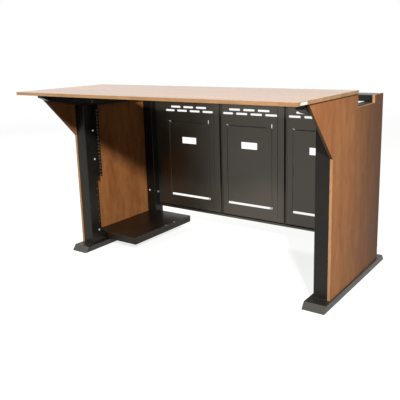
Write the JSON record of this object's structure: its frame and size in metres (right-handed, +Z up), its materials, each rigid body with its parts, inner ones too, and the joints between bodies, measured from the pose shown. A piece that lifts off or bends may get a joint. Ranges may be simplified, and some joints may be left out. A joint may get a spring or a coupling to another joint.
{
  "type": "monitoring console desk",
  "caption": "Console desk with a laminated worktop and side panels, steel end frames, a vented back wall with access doors, a cable slot and a low computer shelf.",
  "frame": {"origin": "centre of the desk's footprint box, on the floor", "axes": "+X along the width to the right as the user sees it, +Y from the user to the back wall, +Z up"},
  "size_m": [1.265, 0.848, 0.75],
  "materials": {
    "laminate": "satin laminate with a straight wood grain",
    "edging": "satin edge strip",
    "tag": "blank white film",
    "black_steel": "satin black powder coat",
    "black_sheet": "satin black powder coat on sheet",
    "zinc": "bright zinc plating",
    "black_plastic": "moulded"
  },
  "bodies": {
    "desk": {"worktop": "laminate", "side_panel_left": "laminate", "side_panel_right": "laminate", "worktop_edging": "edging", "side_edging_left": "edging", "side_edging_right": "edging", "edge_tag": "tag", "front_upright_left": "black_steel", "front_upright_right": "black_steel", "rear_upright_left": "black_steel", "rear_upright_right": "black_steel", "foot_bar_left": "black_steel", "foot_bar_right": "black_steel", "top_arm_left": "black_steel", "top_arm_right": "black_steel", "rear_top_rail": "black_steel", "rack_rail": "black_steel", "computer_shelf": "black_steel", "shelf_spacers": "black_steel", "back_top_rail": "black_sheet", "back_bottom_rail": "black_sheet", "back_filler_left": "black_sheet", "back_panel_left": "black_sheet", "back_panel_middle": "black_sheet", "back_panel_right": "black_sheet", "back_post_left": "black_sheet", "back_post_middle": "black_sheet", "back_post_right": "black_sheet", "hinge_brackets": "zinc", "upright_bolts": "zinc", "worktop_screws": "zinc", "panel_screws": "zinc", "leveller_blocks": "zinc", "door_catches": "black_plastic"},
    "access_door_left": {"access_door_left": "black_sheet"},
    "access_door_middle": {"access_door_middle": "black_sheet"},
    "access_door_right": {"access_door_right": "black_sheet"},
    "levelling_foot_front_left": {"levelling_foot_front_left": "black_plastic"},
    "levelling_foot_front_right": {"levelling_foot_front_right": "black_plastic"},
    "levelling_foot_rear_left": {"levelling_foot_rear_left": "black_plastic"},
    "levelling_foot_rear_right": {"levelling_foot_rear_right": "black_plastic"}
  },
  "joints": [
    {"name": "door_left_swing", "type": "hinge", "parent": "desk", "child": "access_door_left", "pos_m": [-0.236, 0.36, 0.3595], "axis": [0, 0, -1], "range_deg": [0, 110]},
    {"name": "door_middle_swing", "type": "hinge", "parent": "desk", "child": "access_door_middle", "pos_m": [0.114, 0.36, 0.3595], "axis": [0, 0, -1], "range_deg": [0, 110]},
    {"name": "door_right_swing", "type": "hinge", "parent": "desk", "child": "access_door_right", "pos_m": [0.464, 0.36, 0.3595], "axis": [0, 0, -1], "range_deg": [0, 110]},
    {"name": "leveller_front_left_travel", "type": "slide", "parent": "desk", "child": "levelling_foot_front_left", "axis": [0, 0, -1], "range_m": [0, 0.01]},
    {"name": "leveller_front_right_travel", "type": "slide", "parent": "desk", "child": "levelling_foot_front_right", "axis": [0, 0, -1], "range_m": [0, 0.01]},
    {"name": "leveller_rear_left_travel", "type": "slide", "parent": "desk", "child": "levelling_foot_rear_left", "axis": [0, 0, -1], "range_m": [0, 0.01]},
    {"name": "leveller_rear_right_travel", "type": "slide", "parent": "desk", "child": "levelling_foot_rear_right", "axis": [0, 0, -1], "range_m": [0, 0.01]}
  ]
}
